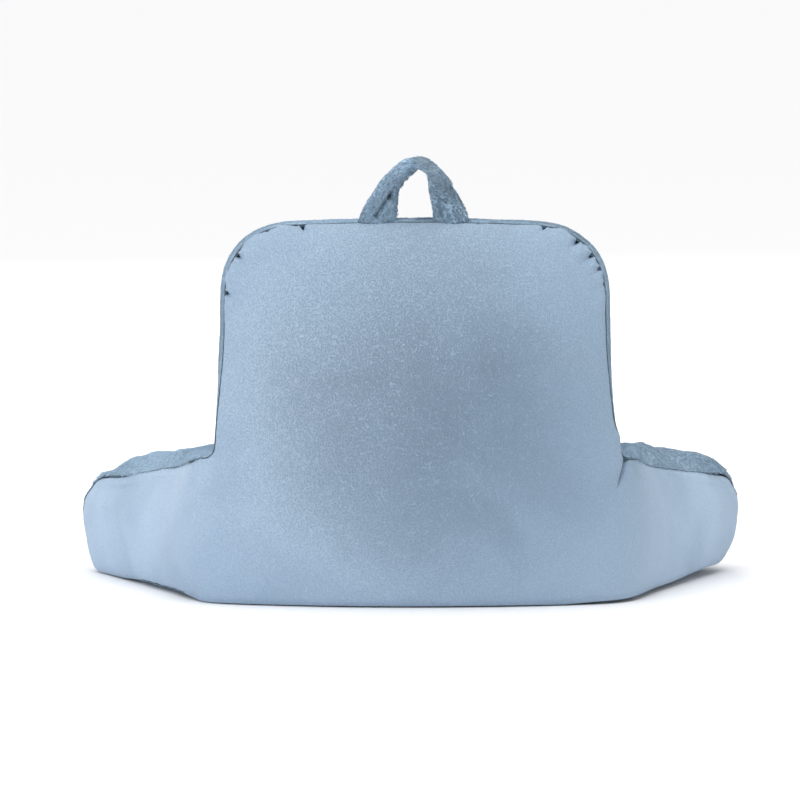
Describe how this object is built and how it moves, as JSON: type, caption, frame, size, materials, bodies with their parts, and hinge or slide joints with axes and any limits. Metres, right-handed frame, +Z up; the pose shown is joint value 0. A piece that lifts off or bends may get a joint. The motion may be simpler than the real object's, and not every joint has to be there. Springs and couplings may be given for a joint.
{
  "type": "backrest pillow",
  "caption": "Filled backrest pillow with arms and a strap handle, velour over its back and short plush elsewhere; it stands on a bed or floor and supports a sitting person's back.",
  "frame": {"origin": "centre of the bounding box, at the base", "axes": "+Z up, -Y the front where a person sits, +X across the arms, on the left when seen from behind"},
  "size_m": [0.7464, 0.4152, 0.4897],
  "materials": {
    "velour": "pale blue crinkled velour, matt with a soft sheen",
    "plush": "short blue-grey plush pile, matt"
  },
  "bodies": {
    "root": {"cushion": "plush", "back_panel": "velour", "boxing_band": "plush", "base_panel": "plush", "handle": "plush"}
  },
  "joints": []
}
